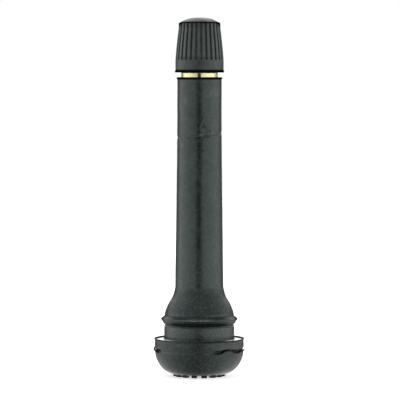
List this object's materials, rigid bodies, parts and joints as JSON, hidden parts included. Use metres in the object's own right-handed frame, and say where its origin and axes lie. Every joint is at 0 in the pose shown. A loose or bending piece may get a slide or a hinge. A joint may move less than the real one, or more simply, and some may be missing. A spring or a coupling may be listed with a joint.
{
  "type": "tyre valve",
  "caption": "Snap-in rubber tyre valve: domed head with a rim groove, long tapered stem on a brass tube, spring-loaded core and a fluted screw cap.",
  "frame": {"origin": "on the valve's axis, at the level of the pads that it stands on", "axes": "+Z along the axis from the head to the cap, +X to the right and -Y to the front in the picture's view"},
  "size_m": [0.0196, 0.0196, 0.0766],
  "materials": {
    "body_rubber": "matte, moulded",
    "stem_brass": "turned",
    "core_brass": "turned",
    "seal_rubber": "smooth",
    "spring_steel": "drawn wire",
    "cap_plastic": "satin"
  },
  "bodies": {
    "valve_stem": {"rubber_body": "body_rubber", "brass_stem": "stem_brass", "core_plug": "core_brass", "core_barrel": "core_brass", "barrel_gasket": "seal_rubber", "core_spring": "spring_steel"},
    "plunger": {"core_pin": "core_brass", "plunger_cup": "core_brass", "plunger_washer": "seal_rubber"},
    "cap_seal": {"cap_washer": "seal_rubber"},
    "cap": {"cap_shell": "cap_plastic"}
  },
  "joints": [
    {"name": "cap_lift", "type": "slide", "parent": "valve_stem", "child": "cap_seal", "axis": [0, 0, 1], "range_m": [0, 0.00714]},
    {"name": "cap_turn", "type": "hinge", "parent": "cap_seal", "child": "cap", "pos_m": [0, 0, 0.07], "axis": [0, 0, 1], "range_deg": [0, 3240]},
    {"name": "pin_press", "type": "slide", "parent": "valve_stem", "child": "plunger", "axis": [0, 0, -1], "range_m": [0, 0.0013], "stiffness_N_per_m": 2000, "springref_m": -0.0015, "deforming": ["core_spring"]}
  ],
  "couplings": [
    {"joint": "cap_turn", "follows": "cap_lift", "rad_per_m": 7915.8}
  ]
}
